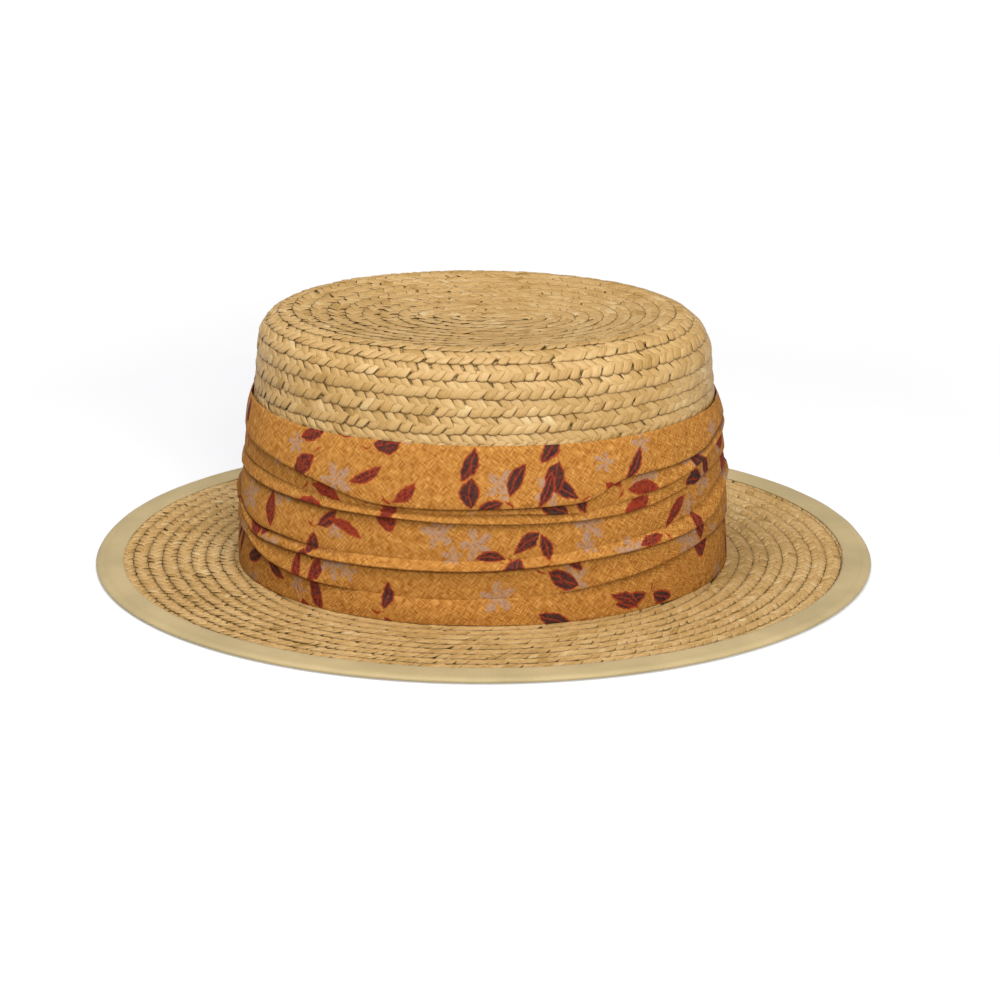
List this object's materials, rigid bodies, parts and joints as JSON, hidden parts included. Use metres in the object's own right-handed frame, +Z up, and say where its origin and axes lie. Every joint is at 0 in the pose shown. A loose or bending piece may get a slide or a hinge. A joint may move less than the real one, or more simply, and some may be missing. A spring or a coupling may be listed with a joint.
{
  "type": "straw boater hat",
  "caption": "Flat-topped oval straw hat in sewn rows of plait, with a level brim bound in ribbon and a wide pleated cloth band",
  "frame": {"origin": "on the floor under the middle of the brim, as the hat rests by itself", "axes": "+X is the front of the hat along the head's long way, +Y the wearer's left, +Z up through the crown"},
  "size_m": [0.318, 0.2904, 0.1082],
  "materials": {
    "crown_straw": "plaited straw, satin",
    "brim_straw": "plaited straw, satin",
    "band_cloth": "slubby linen weave, matte, printed",
    "binding_ribbon": "fine ribbed ribbon, low sheen"
  },
  "bodies": {
    "root": {"crown": "crown_straw", "brim": "brim_straw", "hat_band": "band_cloth", "brim_binding": "binding_ribbon"}
  },
  "joints": []
}
